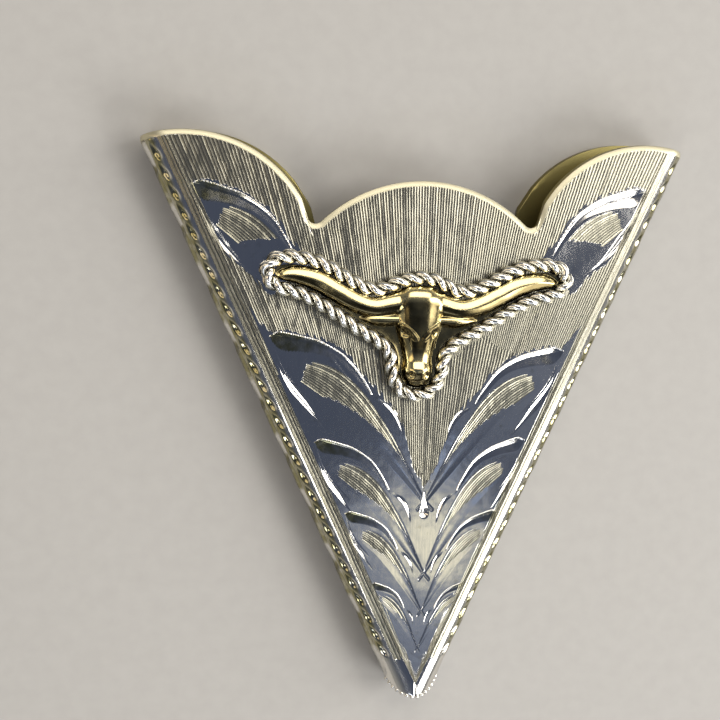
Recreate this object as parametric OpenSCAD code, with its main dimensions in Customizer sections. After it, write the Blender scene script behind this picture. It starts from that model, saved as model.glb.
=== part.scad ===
// A western collar tip: a V-shaped cover of sheet metal for the point of a shirt
// collar, folded round at its two long sides, with a longhorn steer's head in
// relief inside a rope border, and crescent cuts that lead its engraved leaves.
// X runs across the tip, Y from its point to the scalloped edge, and Z out of its
// face. The origin is at the middle of the outline, on the flat back.

/* [Outline] */
// Angle between the middle line and each long folded side, in degrees
half_angle = 24.5; // [23:0.5:26]
// Width across the two outer corners
overall_w = 46.5; // [42:0.5:50]
// Radius of the two outer lobes of the scalloped edge
side_lobe_r = 10.65; // [10:0.05:11.5]
// How far the centre of an outer lobe lies outside the folded side, at the face
side_lobe_out = 0.95; // [0:0.05:1.5]
// Lean of the outer lobes, which sets the back's lobe further in, in degrees
lobe_lean = 12; // [0:1:15]
// Radius of the middle lobe
centre_lobe_r = 12.55; // [11.5:0.05:13.5]
// How far the top of the middle lobe lies below the top of the outer lobes
centre_lobe_drop = 3.9; // [3:0.1:5]
// Radius of the rounded notches between the lobes
notch_r = 0.7; // [0.3:0.1:1.2]
// Radius of the rounded point
point_r = 2.7; // [2:0.1:3.5]

/* [Sheet and folds] */
// Thickness of the sheet
sheet = 0.6; // [0.5:0.05:0.8]
// Outside thickness of the folded tip
fold_h = 4.2; // [3.6:0.1:5]
// Length of the solid point, from its end to the pocket
solid_point = 2.6; // [2:0.1:4]
// Angle between the middle line and the inner edge of each back flange, in degrees
flange_angle = 14.4; // [12:0.2:16]
// Length along the middle line over which the two back flanges meet
seam_length = 4; // [3:0.5:6]

/* [Engraved crescents] */
// Depth of the crescent cuts
cut_depth = 0.15; // [0.05:0.05:0.25]

/* [Longhorn head] */
// Distance of the head's middle line from the tip's
head_x = -0.5; // [-1:0.1:1]
// Distance of the top of the head from the origin, along Y
head_y = 10.6; // [9.5:0.1:11]
// Turn of the head on the face, in degrees
head_turn = -1.1; // [-3:0.1:3]
// Thickness of the plate under the head
plate_h = 0.35; // [0.2:0.05:0.5]
// Gap between pieces that are set beside or on each other
seat_gap = 0.02; // [0.01:0.01:0.05]

/* [Rope border] */
// Width of the rope
rope_w = 1.16; // [1:0.02:1.3]
// Height of each of its two strands, as a share of the width
strand_share = 0.62; // [0.5:0.02:0.8]
// Number of strands seen around the border
rope_turns = 54; // [48:2:60]

/* [Hidden] */
$fn = 96;

silver = [0.72, 0.72, 0.70];
gold = [0.83, 0.68, 0.33];
pale_silver = [0.86, 0.86, 0.80];

// The two folded sides would meet at a sharp corner below the rounded point, and
// the lengths named here count from there: "along" runs up one side's outer line,
// "up" runs up the middle line.
fold_r = fold_h / 2;
lobe_in_mid = fold_r * tan(lobe_lean) - side_lobe_out;
lobe_in_back = fold_h * tan(lobe_lean) - side_lobe_out;
corner_along = overall_w / 2 / sin(half_angle);
lobe_along = corner_along - sqrt(pow(side_lobe_r, 2) - pow(lobe_in_mid * cos(lobe_lean), 2));
point_up = point_r / sin(half_angle);
bottom_up = point_up - point_r;
// The highest point of the outline is on the back's lobes, which the lean widens
top_rise = sqrt(pow(side_lobe_r * sin(half_angle) / cos(lobe_lean), 2)
    + pow(side_lobe_r * cos(half_angle), 2));
top_up = lobe_along * cos(half_angle) + lobe_in_back * sin(half_angle) + top_rise;
origin_up = (top_up + bottom_up) / 2;
// The middle lobe and the outer lobes, as circles on the face
centre_lobe = [0, top_up - centre_lobe_drop - centre_lobe_r];
side_lobe = [lobe_along * sin(half_angle) + side_lobe_out * cos(half_angle),
    lobe_along * cos(half_angle) - side_lobe_out * sin(half_angle)];
// The body below the lobes ends at this share of the height, inside all of them
body_share = 0.758;
body_up = body_share * top_up;
// A length past the tip's own size, for the shapes that cut it out
reach = 60;

// Leaf cuts on one half of the face: outer end, inner end, rise of the arc and
// width of the crescent, in millimetres from the origin
CUTS = [
    // x1, y1, x2, y2, rise, width
    [17.6, 19.4, 12.2, 14.4, 1.0, 0.55],
    [12.3, 7.2, 1.6, -4.5, 2.9, 0.75],
    [8.9, -1.2, 1.2, -10.4, 2.2, 0.65],
    [6.5, -7.6, 0.9, -14.8, 1.7, 0.55],
    [4.2, -13.7, 0.6, -18.6, 1.1, 0.45]
];

// One horn from the head to its tip: place, half width and height of its top
HORN = [
    // x, y, half width, height
    [0.0, -0.35, 1.20, 1.35],
    [1.9, -0.55, 1.00, 1.25],
    [3.7, -0.90, 0.82, 1.10],
    [5.3, -0.50, 0.82, 1.05],
    [6.9, 0.30, 0.82, 1.05],
    [8.5, 1.15, 0.84, 1.00],
    [10.2, 1.55, 0.70, 0.95],
    [11.45, 1.50, 0.36, 0.70]
];

// The skull down its middle line, from the top of the head to the muzzle
SKULL = [
    // y, half width, height
    [-0.5, 1.45, 1.45],
    [-1.2, 2.05, 1.65],
    [-2.6, 1.80, 1.70],
    [-4.2, 1.25, 1.60],
    [-5.8, 1.20, 1.65],
    [-6.4, 0.95, 1.35]
];

// One ear, from the head outwards
EAR = [
    // x, y, half width, height
    [1.9, -1.95, 0.50, 0.90],
    [4.0, -2.10, 0.32, 0.60]
];

// Middle and radius of the hollows for one eye and one nostril
eye = [1.65, -2.5, 1.35];
eye_r = 0.5;
nostril = [0.62, -6.2, 1.55];
nostril_r = 0.28;

// The line of the rope round one half of the head, from the top of the head
// round the horn to below the muzzle
ROPE_LINE = [
    [0, 1.7], [1.5, 1.45], [3.6, 0.6], [5.6, 1.2], [8, 2.5], [10.2, 3.05], [12, 2.8],
    [12.65, 1.75], [11.9, 0.65], [10, 0.15], [8, -0.8], [5.5, -2.4], [3.1, -3.8],
    [2.3, -4.8], [2.1, -6.2], [1.4, -7.6], [0, -8.1]
];

// The longhorn's flat plate follows the rope's line inside it, clear of the rope
plate_clear = 0.07;
plate_inset = rope_w / 2 + plate_clear;

// Profile of a folded side, cut across it, with the side's outer line at x = 0
module fold_profile(inset) {
    translate([-reach, inset]) square([reach - fold_r, fold_h - 2 * inset]);
    translate([-fold_r, fold_r]) circle(fold_r - inset);
}

// Everything that lies inside one folded side
module inside_fold(inset, side) {
    mirror([side < 0 ? 1 : 0, 0, 0])
        rotate([0, 0, -half_angle])
            translate([0, reach, 0])
                rotate([90, 0, 0])
                    linear_extrude(2 * reach) fold_profile(inset);
}

// One outer lobe of the scalloped edge, leaning in towards the back
module side_lobe_cutter(side) {
    mirror([side < 0 ? 1 : 0, 0, 0])
        rotate([0, 0, -half_angle])
            translate([side_lobe_out, lobe_along, fold_h])
                rotate([0, lobe_lean, 0])
                    cylinder(r = side_lobe_r, h = 8 * fold_h, center = true);
}

// The metal that rounds out the notch between the middle lobe and an outer lobe
module notch_fill(side) {
    span = norm(side_lobe - centre_lobe);
    toward = (side_lobe - centre_lobe) / span;
    r_centre = centre_lobe_r + notch_r;
    r_side = side_lobe_r + notch_r;
    along = (span * span + r_centre * r_centre - r_side * r_side) / (2 * span);
    across = sqrt(r_centre * r_centre - along * along);
    middle = centre_lobe + along * toward + across * [-toward[1], toward[0]];
    mirror([side < 0 ? 1 : 0, 0, 0])
        translate([0, 0, fold_r])
            linear_extrude(2 * fold_h)
                difference() {
                    polygon([centre_lobe, side_lobe, middle]);
                    translate(middle) circle(notch_r);
                }
}

// The outline seen from the front: rounded point, body and scalloped edge
module outline() {
    translate([0, point_up, -fold_h]) cylinder(r = point_r, h = 4 * fold_h);
    translate([-reach / 2, point_up - point_r * sin(half_angle), -fold_h])
        cube([reach, body_up - point_up + point_r * sin(half_angle), 4 * fold_h]);
    translate([0, centre_lobe[1], fold_r]) cylinder(r = centre_lobe_r, h = 2 * fold_h);
    for (side = [-1, 1]) {
        side_lobe_cutter(side);
        notch_fill(side);
    }
}

// The pocket that the collar's point slides into
module pocket() {
    intersection() {
        inside_fold(sheet, 1);
        inside_fold(sheet, -1);
        translate([-reach / 2, bottom_up + solid_point, -fold_h])
            cube([reach, reach, 3 * fold_h]);
    }
}

// The V-shaped gap between the two flanges at the back
module back_gap() {
    start = bottom_up + solid_point + seam_length;
    translate([0, start, -fold_h])
        linear_extrude(fold_h + fold_r)
            polygon([[0, 0], [reach * tan(flange_angle), reach], [-reach * tan(flange_angle), reach]]);
}

// A crescent between two arcs that share their ends
module crescent(from, to, rise, width) {
    half = norm(to - from) / 2;
    angle = atan2(to[1] - from[1], to[0] - from[0]);
    outer_r = (half * half + rise * rise) / (2 * rise);
    inner = rise - width;
    inner_r = (half * half + inner * inner) / (2 * inner);
    translate((from + to) / 2)
        rotate([0, 0, angle])
            difference() {
                translate([0, rise - outer_r]) circle(outer_r);
                translate([0, inner - inner_r]) circle(inner_r);
                translate([-2 * outer_r, -4 * outer_r]) square([4 * outer_r, 4 * outer_r]);
            }
}

// The bright crescents that lead the engraved leaves, on both halves of the face
module leaf_cuts() {
    for (side = [-1, 1])
        for (c = CUTS)
            mirror([side < 0 ? 1 : 0, 0, 0])
                translate([0, 0, fold_h - cut_depth])
                    linear_extrude(2 * cut_depth)
                        mirror([1, 0, 0])
                            crescent([-c[0], c[1]], [-c[2], c[3]], c[4], c[5]);
}

// Face, round folds and back flanges, all from one folded sheet
module shell() {
    color(silver)
        difference() {
            translate([0, -origin_up, 0])
                difference() {
                    intersection() {
                        inside_fold(0, 1);
                        inside_fold(0, -1);
                        outline();
                    }
                    pocket();
                    back_gap();
                }
            leaf_cuts();
        }
}

// Puts the head and its rope in place on the face
module on_face() {
    translate([head_x, head_y, fold_h + seat_gap]) rotate([0, 0, head_turn]) children();
}

// A ball whose flat foot has the given half width and whose top has the given height
module dome(half_width, height) {
    ball_r = (half_width * half_width + height * height) / (2 * height);
    translate([0, 0, height - ball_r]) sphere(r = ball_r, $fn = 18);
}

// A ridge through a list of domes, each with its place, half width and height
module ridge(rows) {
    for (i = [0 : len(rows) - 2])
        hull() {
            translate([rows[i][0], rows[i][1], 0]) dome(rows[i][2], rows[i][3]);
            translate([rows[i + 1][0], rows[i + 1][1], 0]) dome(rows[i + 1][2], rows[i + 1][3]);
        }
}

// Points of a smooth closed line through the given points, and a count between each two
function smooth(p, n) = [
    for (i = [0 : len(p) - 1], k = [0 : n - 1])
        let (
            a = p[(i + len(p) - 1) % len(p)],
            b = p[i],
            c = p[(i + 1) % len(p)],
            d = p[(i + 2) % len(p)],
            t = k / n
        )
        0.5 * (2 * b + t * (c - a) + t * t * (2 * a - 5 * b + 4 * c - d)
            + t * t * t * (3 * b - a - 3 * c + d))
];
half_count = len(ROPE_LINE);
rope_loop = concat(
    ROPE_LINE,
    [for (i = [half_count - 2 : -1 : 1]) [-ROPE_LINE[i][0], ROPE_LINE[i][1]]]
);

// A steer's head in relief: flat plate, long horns, ears, skull, eyes and nostrils
module longhorn() {
    skull = [for (s = SKULL) [0, s[0], s[1], s[2]]];
    color(gold)
        on_face()
            intersection() {
                translate([-reach / 2, -reach / 2, 0]) cube([reach, reach, fold_h]);
                difference() {
                    union() {
                        linear_extrude(plate_h)
                            offset(delta = -plate_inset) polygon(smooth(rope_loop, 3));
                        for (side = [0, 1])
                            mirror([side, 0, 0]) {
                                ridge(HORN);
                                ridge(EAR);
                            }
                        ridge(skull);
                    }
                    for (side = [-1, 1]) {
                        translate([eye[0] * side, eye[1], eye[2]]) sphere(r = eye_r, $fn = 12);
                        translate([nostril[0] * side, nostril[1], nostril[2]])
                            sphere(r = nostril_r, $fn = 8);
                    }
                }
            }
}

// The rope's line in fine steps, and the distance of each of its points from the first
rope_fine = smooth(rope_loop, 8);
rope_n = len(rope_fine);
function step_length(i) = norm(rope_fine[(i + 1) % rope_n] - rope_fine[i % rope_n]);
rope_far = [for (i = 0, s = 0; i <= rope_n; s = s + step_length(i), i = i + 1) s];
rope_length = rope_far[rope_n];

// Rings to each half turn of the rope, and sides to each ring
steps_per_turn = 6;
ring_count = rope_turns * steps_per_turn;
ring_sides = 8;

// The point of the rope's line at a distance from its first point
function spot(s, i = 0) = rope_far[i + 1] >= s
    ? let (t = (s - rope_far[i]) / (rope_far[i + 1] - rope_far[i]))
        (1 - t) * rope_fine[i] + t * rope_fine[(i + 1) % rope_n]
    : spot(s, i + 1);

// Two strands twisted round each other, swept along the closed line as one oval that turns
module rope_border() {
    half_w = rope_w / 2;
    half_h = half_w * strand_share;
    ring_points = [
        for (k = [0 : ring_count - 1])
            let (
                here = spot(rope_length * k / ring_count),
                ahead = spot(rope_length * ((k + 0.5) % ring_count) / ring_count),
                along = (ahead - here) / norm(ahead - here),
                twist = 180 * k / steps_per_turn
            )
            for (j = [0 : ring_sides - 1])
                let (
                    a = 360 * j / ring_sides,
                    wide = half_w * cos(a),
                    high = half_h * sin(a),
                    across = wide * cos(twist) - high * sin(twist),
                    up = wide * sin(twist) + high * cos(twist)
                )
                [here[0] - across * along[1], here[1] + across * along[0], half_w + up]
    ];
    ring_faces = [
        for (k = [0 : ring_count - 1], j = [0 : ring_sides - 1])
            let (
                k2 = (k + 1) % ring_count,
                j2 = (j + 1) % ring_sides,
                // An odd number of half turns would swap the oval's two ends where the line closes
                flip = k2 == 0 && rope_turns % 2 == 1 ? ring_sides / 2 : 0,
                a = k * ring_sides + j,
                b = k * ring_sides + j2,
                c = k2 * ring_sides + (j2 + flip) % ring_sides,
                d = k2 * ring_sides + (j + flip) % ring_sides
            )
            for (triangle = [[a, c, b], [a, d, c]]) triangle
    ];
    color(pale_silver) on_face() polyhedron(ring_points, ring_faces, convexity = 10);
}

shell();
longhorn();
rope_border();
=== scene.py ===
import math

import bpy
import numpy as np
from mathutils import Matrix, Vector


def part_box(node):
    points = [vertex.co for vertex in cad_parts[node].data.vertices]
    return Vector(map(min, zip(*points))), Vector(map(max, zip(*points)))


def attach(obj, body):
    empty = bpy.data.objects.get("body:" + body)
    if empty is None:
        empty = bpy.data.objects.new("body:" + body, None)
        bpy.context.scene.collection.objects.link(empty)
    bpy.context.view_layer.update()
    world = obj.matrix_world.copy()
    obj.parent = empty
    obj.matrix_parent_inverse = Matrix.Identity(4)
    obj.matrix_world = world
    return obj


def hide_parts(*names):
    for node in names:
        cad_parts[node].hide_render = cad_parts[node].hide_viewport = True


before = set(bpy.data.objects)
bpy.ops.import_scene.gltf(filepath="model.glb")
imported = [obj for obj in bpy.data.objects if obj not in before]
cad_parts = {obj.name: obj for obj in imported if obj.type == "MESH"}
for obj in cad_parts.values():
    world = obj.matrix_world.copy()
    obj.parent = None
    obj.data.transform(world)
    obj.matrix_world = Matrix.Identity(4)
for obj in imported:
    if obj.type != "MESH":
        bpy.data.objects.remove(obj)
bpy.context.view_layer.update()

# The photographer's place: almost straight above the tip, a little to its left and towards
# its scalloped edge. Lengths in this file are in millimetres until a mesh or a light is made.
MM = 0.001
camera_azimuth = math.radians(10.06)
camera_tilt = math.radians(5.97)
camera_roll = math.radians(0.93)
camera_distance = 88.06
camera_target = Vector((-4.583, 4.954, 0.0))
focal_length = 50.54
sensor = 36.0

towards_camera = Vector((
    -math.sin(camera_azimuth) * math.cos(camera_tilt),
    math.sin(camera_tilt),
    math.cos(camera_azimuth) * math.cos(camera_tilt),
))
level_right = Vector((0, 1, 0)).cross(towards_camera).normalized()
level_up = towards_camera.cross(level_right)
picture_right = math.cos(camera_roll) * level_right + math.sin(camera_roll) * level_up
picture_up = -math.sin(camera_roll) * level_right + math.cos(camera_roll) * level_up


def put_in(name, data):
    """An object in the scene, with that name and data."""
    made = bpy.data.objects.new(name, data)
    bpy.context.scene.collection.objects.link(made)
    return made


camera_data = bpy.data.cameras.new("camera")
camera_data.sensor_width = sensor
camera_data.lens = focal_length
camera_data.clip_start = 0.01
camera = put_in("camera", camera_data)
turn = Matrix((picture_right, picture_up, towards_camera)).transposed()
camera.matrix_world = Matrix.LocRotScale(
    (camera_target + camera_distance * towards_camera) * MM, turn.to_quaternion(), None
)
bpy.context.scene.camera = camera


# The studio: a pale card floor that the tip lies on, soft boxes round it, and a dark blue
# space straight above, which polished flat metal mirrors as deep blue grey.
def colour(code):
    """A hex colour, as a painter reads it, in the linear values that shaders take."""
    parts = [int(code[i:i + 2], 16) / 255 for i in (1, 3, 5)]
    return [c / 12.92 if c <= 0.04045 else ((c + 0.055) / 1.055) ** 2.4 for c in parts] + [1.0]


def feed(node, links):
    """Gives a node's inputs a value, a hex colour, a socket, or another node's first output."""
    for key, value in links.items():
        if isinstance(value, bpy.types.Node):
            value = value.outputs[0]
        if isinstance(value, bpy.types.NodeSocket):
            node.id_data.links.new(value, node.inputs[key])
        else:
            node.inputs[key].default_value = colour(value) if isinstance(value, str) else value


def add(tree, kind, links=None, **settings):
    """A node of that kind, a shader node's without its prefix, with settings and what feeds it."""
    node = tree.nodes.new(kind if "Node" in kind else "ShaderNode" + kind)
    for key, value in settings.items():
        setattr(node, key, value)
    feed(node, links or {})
    return node


def new_material(name, values):
    """A material with its node tree, and its principled shader with some inputs' values set."""
    material = bpy.data.materials.new(name)
    material.use_nodes = True
    tree = material.node_tree
    tree.nodes.clear()
    shader = add(tree, "BsdfPrincipled", values)
    add(tree, "OutputMaterial", {"Surface": shader})
    return material, tree, shader


# Square lamps that face the tip: large boxes for the mirrored light, and small weak cards for
# the cream and blue patches and the haze that the polished flats between the leaves show
for name, place, size, watts, tint in (
    # place and size in millimetres
    ("right_box", (388, 60, 292), (235, 420), 2.15, "#FFFDFA"),
    ("left_box", (-330, 40, 270), (120, 380), 0.24, "#FFE9C4"),
    ("top_box", (50, 340, 380), (560, 280), 1.45, "#FFF8EC"),
    ("near_box", (-40, -420, 260), (300, 90), 0.3, "#E4ECFF"),
    ("right_corner_box", (325, -235, 255), (220, 220), 1.55, "#FFFFFF"),
    ("left_corner_box", (-205, -225, 345), (110, 110), 0.28, "#FFFDF6"),
    ("cream_card", (71, -92, 281), (24, 26), 0.0022, "#F2E8BE"),
    ("blue_card", (74, -61, 284), (8, 12), 0.0002, "#A9C8FF"),
    ("low_haze_card", (70, -100, 282), (64, 70), 0.0038, "#CBD6EE"),
    ("right_haze_card", (108, -33, 282), (50, 60), 0.0008, "#CBD6EE"),
):
    lamp = bpy.data.lights.new(name, "AREA")
    lamp.shape = "RECTANGLE"
    lamp.size, lamp.size_y = size[0] * MM, size[1] * MM
    lamp.energy = watts
    lamp.color = colour(tint)[:3]
    holder = put_in(name, lamp)
    place = Vector(place)
    holder.location = place * MM
    holder.rotation_mode = "QUATERNION"
    holder.rotation_quaternion = (-place).to_track_quat("-Z", "Y")

world = bpy.data.worlds.new("studio")
bpy.context.scene.world = world
world.use_nodes = True
tree = world.node_tree
tree.nodes.clear()
direction = add(tree, "TexCoord").outputs["Generated"]
height = add(tree, "SeparateXYZ", {0: direction}).outputs["Z"]
unevenness = add(tree, "TexNoise", {"Vector": direction, "Scale": 5.0, "Detail": 2.0})
shifted = add(tree, "Math", {0: unevenness, 1: -0.35, 2: height}, operation="MULTIPLY_ADD")
lowered = add(tree, "Math", {0: shifted, 1: 0.14}, operation="ADD")
sky = add(tree, "ValToRGB", {0: lowered})
sky.color_ramp.elements.new(0.45)
sky_tones = ((0.05, "#C9C8C4"), (0.45, "#6F7583"), (0.78, "#5E6880"))
for band, (up, tint) in zip(sky.color_ramp.elements, sky_tones):
    band.position, band.color = up, colour(tint)
surround = add(tree, "Background", {"Color": sky, "Strength": 0.55})
add(tree, "OutputWorld", {"Surface": surround})

floor_mesh = bpy.data.meshes.new("card_floor")
floor_half = 0.6
floor_z = -0.02 * MM
floor_corners = [
    (x * floor_half, y * floor_half, floor_z) for x, y in ((-1, -1), (1, -1), (1, 1), (-1, 1))
]
floor_mesh.from_pydata(floor_corners, [], [(0, 1, 2, 3)])
card_floor = put_in("card_floor", floor_mesh)
card, tree, shader = new_material("pale_card", {"Roughness": 0.85, "Specular IOR Level": 0.2})
fibre = add(tree, "TexNoise", {"Scale": 900.0, "Detail": 4.0})
fibre_tone = add(tree, "Mix", {0: fibre, 6: "#A3A09B", 7: "#ACA9A4"}, data_type="RGBA")
feed(shader, {"Base Color": fibre_tone.outputs[2]})
floor_mesh.materials.append(card)
bpy.context.scene.view_settings.view_transform = "Standard"

# Shell: one sheet of silver-plated brass, stamped to a V with three lobes, engraved by hand
# while flat, then folded round at both long sides so that two flanges lie flat at the back.
# Its surface is laid out as the flat sheet was: "across" runs over the fold, "along" runs up
# the side from the sharp corner where the two folded sides would meet.
half_angle = math.radians(24.5)
sin_a, cos_a, tan_a = math.sin(half_angle), math.cos(half_angle), math.tan(half_angle)
overall_w = 46.5
side_lobe_r, side_lobe_out, lobe_lean = 10.65, 0.95, math.radians(12)
centre_lobe_r, centre_lobe_drop = 12.55, 3.9
notch_r, point_r = 0.7, 2.7
sheet, solid_point, seam_length = 0.6, 2.6, 4.0
flange_angle = math.radians(14.4)
shell_low, shell_high = (np.array(corner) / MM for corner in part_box("shell"))
fold_h = shell_high[2]
fold_r = fold_h / 2
lobe_in_mid = fold_r * math.tan(lobe_lean) - side_lobe_out
lobe_half_chord = math.sqrt(side_lobe_r**2 - (lobe_in_mid * math.cos(lobe_lean)) ** 2)
lobe_along = overall_w / 2 / sin_a - lobe_half_chord
point_up = point_r / sin_a
bottom_up = point_up - point_r
corner_y = shell_low[1] - bottom_up
face_start = fold_r / tan_a
face_apex_y = corner_y + fold_r / sin_a
top_up = shell_high[1] - corner_y
lobe_x = lobe_along * sin_a + side_lobe_out * cos_a
lobe_y = corner_y + lobe_along * cos_a - side_lobe_out * sin_a
centre_lobe_y = corner_y + top_up - centre_lobe_drop - centre_lobe_r


def lobe_edge(inward, z):
    """How far along the side the scalloped edge lies, at a distance inward and a height."""
    middle = -side_lobe_out + (fold_h - z) * math.tan(lobe_lean)
    reach = side_lobe_r**2 - ((inward - middle) * math.cos(lobe_lean)) ** 2
    return lobe_along + np.sqrt(np.maximum(reach, 0.0))


def side_point(inward, along, z):
    """A point beside the right fold, from its distance inward from the outer line, and along."""
    return np.stack([
        along * sin_a - inward * cos_a,
        corner_y + along * cos_a + inward * sin_a,
        np.broadcast_to(z, np.shape(along * inward)),
    ], -1)


def far_hit(slope, middle, radius):
    """Where rays from the face's lower corner, with x growing by slope for each y, leave a circle."""
    direction = np.stack([slope, np.ones_like(slope)], -1)
    direction /= np.linalg.norm(direction, axis=-1, keepdims=True)
    away = np.array(middle) - (0.0, face_apex_y)
    nearest = direction @ away
    miss = away @ away - nearest**2
    half_chord = np.sqrt(np.maximum(radius**2 - miss, 0.0))
    return nearest, half_chord, miss <= radius**2


def face_edge(slope, z):
    """Length of each ray on the face, from its lower corner to the scalloped edge."""
    slope = np.abs(slope)
    nearest, half_chord, meets = far_hit(slope, (0.0, centre_lobe_y), centre_lobe_r)
    centre = np.where(meets, nearest + half_chord, 0.0)
    angle = half_angle - np.arctan(slope)
    # The side lobe is met between these lengths, found by halving
    low, high = np.full_like(slope, 5.0), np.full_like(slope, 60.0)
    for _ in range(40):
        trial = (low + high) / 2
        inward = fold_r + trial * np.sin(angle)
        inside = face_start + trial * np.cos(angle) < lobe_edge(inward, z)
        low, high = np.where(inside, trial, low), np.where(inside, high, trial)
    span = np.hypot(lobe_x, lobe_y - centre_lobe_y)
    toward = np.array([lobe_x, lobe_y - centre_lobe_y]) / span
    r_centre, r_side = centre_lobe_r + notch_r, side_lobe_r + notch_r
    part = (span**2 + r_centre**2 - r_side**2) / (2 * span)
    rise = math.sqrt(r_centre**2 - part**2)
    notch = np.array([0.0, centre_lobe_y]) + part * toward + rise * np.array([-toward[1], toward[0]])
    touch = [notch + notch_r * (c - notch) / np.linalg.norm(c - notch) for c in (
        np.array([0.0, centre_lobe_y]), np.array([lobe_x, lobe_y])
    )]
    first, last = (t[0] / (t[1] - face_apex_y) for t in touch)
    nearest, half_chord, meets = far_hit(slope, notch, notch_r)
    in_notch = (slope > first) & (slope < last) & meets
    return np.where(in_notch, nearest - half_chord, np.where(slope < (first + last) / 2, centre, low))


# The flat sheet's grid: columns fan over the face, then run round each fold and across each
# flange, and rows run from the point to the edge, closer where the leaves are engraved.
face_half_columns = 180
row_spans = ((0.0, 29.0, 330), (29.0, 38.5, 90))
last_row_count, last_row_growth = 116, 1.15
even_rows = np.concatenate([np.linspace(a, b, n, endpoint=False) for a, b, n in row_spans])
last_rows = 1 - (1 - np.linspace(0, 1, last_row_count)) ** last_row_growth
rows = np.concatenate([even_rows, np.full(len(last_rows), row_spans[-1][1])])
last_share = np.concatenate([np.zeros(len(even_rows)), last_rows])
slopes = np.linspace(-tan_a, tan_a, 2 * face_half_columns + 1)
tip_inward = bottom_up * sin_a
turn_first = fold_r * math.asin((fold_r - tip_inward) / fold_r)
turn_all = math.pi * fold_r
end_turn_count, middle_turn_count = 5, 43
turns = np.concatenate([
    np.linspace(0, turn_first, end_turn_count)[:-1],
    np.linspace(turn_first, turn_all - turn_first, middle_turn_count),
    np.linspace(turn_all - turn_first, turn_all, end_turn_count)[1:],
])
gap_up = bottom_up + solid_point + seam_length
gap_inward, gap_along = gap_up * sin_a, gap_up * cos_a
gap_lean = math.tan(half_angle - flange_angle)
seam_columns, gap_side_columns = 7, 19
halvings = 50


def flange_columns(z):
    """Distances inward of the flange's columns, to the corner where gap and edge meet."""
    low, high = gap_inward, 20.0
    for _ in range(halvings):
        trial = (low + high) / 2
        if gap_along + (trial - gap_inward) / gap_lean < lobe_edge(trial, z):
            low = trial
        else:
            high = trial
    return np.concatenate([
        np.linspace(fold_r, gap_inward, seam_columns),
        np.linspace(gap_inward, low, gap_side_columns)[1:]
    ])


def flange_start(inward):
    """How far along a flange's column starts: at the middle line, then at the gap's edge."""
    return np.where(
        inward <= gap_inward, inward / tan_a, gap_along + (inward - gap_inward) / gap_lean
    )


def fold_start(inward):
    """How far along a fold's column starts: at the middle line or at the rounded point."""
    point_along = point_up * cos_a
    rounded = point_along - np.sqrt(np.maximum(point_r**2 - (point_r - inward) ** 2, 0.0))
    return np.maximum(inward / tan_a, rounded)


curve_steps = 8


def smooth_line(points):
    """Points along a smooth curve through a few given points."""
    p = np.array(points, float)
    ends = np.concatenate([[2 * p[0] - p[1]], p, [2 * p[-1] - p[-2]]])
    t = np.linspace(0, 1, curve_steps, endpoint=False)[:, None]
    pieces = []
    for a, b, c, d in zip(ends, ends[1:], ends[2:], ends[3:]):
        pieces.append(0.5 * (
            2 * b + t * (c - a) + t**2 * (2 * a - 5 * b + 4 * c - d) + t**3 * (3 * b - a - 3 * c + d)
        ))
    return np.concatenate(pieces + [p[-1:]])


def to_line(points, line):
    """Distance of each point from a line, and where on it the nearest place is, from 0 to 1."""
    best = np.full(len(points), 1e9)
    place = np.zeros(len(points))
    count = len(line) - 1
    for i in range(count):
        a, step = line[i], line[i + 1] - line[i]
        share = np.clip(((points - a) @ step) / (step @ step), 0, 1)
        far = np.linalg.norm(points - a - share[:, None] * step, axis=1)
        nearer = far < best
        best = np.where(nearer, far, best)
        place = np.where(nearer, (i + share) / count, place)
    return best, place


def inside(points, ring):
    """Whether each point lies inside a closed ring."""
    x, y = points.T
    found = np.zeros(len(points), bool)
    for (ax, ay), (bx, by) in zip(ring, np.roll(ring, -1, axis=0)):
        crosses = (ay > y) != (by > y)
        with np.errstate(divide="ignore", invalid="ignore"):
            at = ax + (y - ay) * (bx - ax) / (by - ay)
        found ^= crosses & (x < at)
    return found


def trough(points, line, half_widths, slope, deepest):
    """Depth of a V cut that follows a line, with its half width at even places on the line."""
    line = smooth_line(line)
    widest = max(half_widths)
    near = np.all((points > line.min(0) - widest) & (points < line.max(0) + widest), axis=1)
    depth = np.zeros(len(points))
    if near.any():
        far, place = to_line(points[near], line)
        half = np.interp(place, np.linspace(0, 1, len(half_widths)), half_widths)
        depth[near] = np.clip(slope * (half - far), 0, deepest)
    return depth


# Leaves: every leaf is the same few strokes, drawn here for one of them in its own frame, with
# x from its head to its tail and y to the side that it swells to.
CRESCENT_OUTER = [
    (0.0, 0.0), (0.25, 0.75), (0.9, 1.3), (2.1, 2.1), (3.1, 2.7), (4.5, 3.2), (6.0, 3.45), (8.2, 3.2),
    (10.0, 2.75)
]
CRESCENT_INNER = [
    (0.0, 0.0), (0.8, -0.15), (1.6, 0.0), (2.3, 0.65), (3.1, 1.35), (4.2, 2.1), (5.2, 2.6), (6.6, 2.85),
    (8.4, 2.8), (10.0, 2.75)
]
FIELD_TOP = [
    (3.4, 0.8), (4.1, 1.35), (5.0, 1.9), (6.0, 2.3), (7.1, 2.52), (8.5, 2.6), (10, 2.48), (13, 1.95),
    (16, 1.1), (19.3, 0.1)
]
FIELD_BOTTOM = [
    (3.4, -1.0), (4.5, -0.75), (7.2, -0.25), (9, -0.05), (12, 0.0), (16, -0.1), (19.3, -0.2)
]
LINE_START = [(0.0, 3.95), (0.3, 3.7), (0.6, 3.8), (1.0, 4.5)]
LINE_END = [
    (0.0, 19.2), (0.1, 17.5), (0.25, 14.8), (0.4, 12.8), (0.55, 10.8), (0.7, 9.2), (0.85, 7.4),
    (1.0, 6.6)
]
CONTOUR = [(0.9, -0.25), (2.05, -0.7), (3.3, -1.05), (4.6, -1.2), (6.0, -1.2), (7.4, -1.12)]
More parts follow.
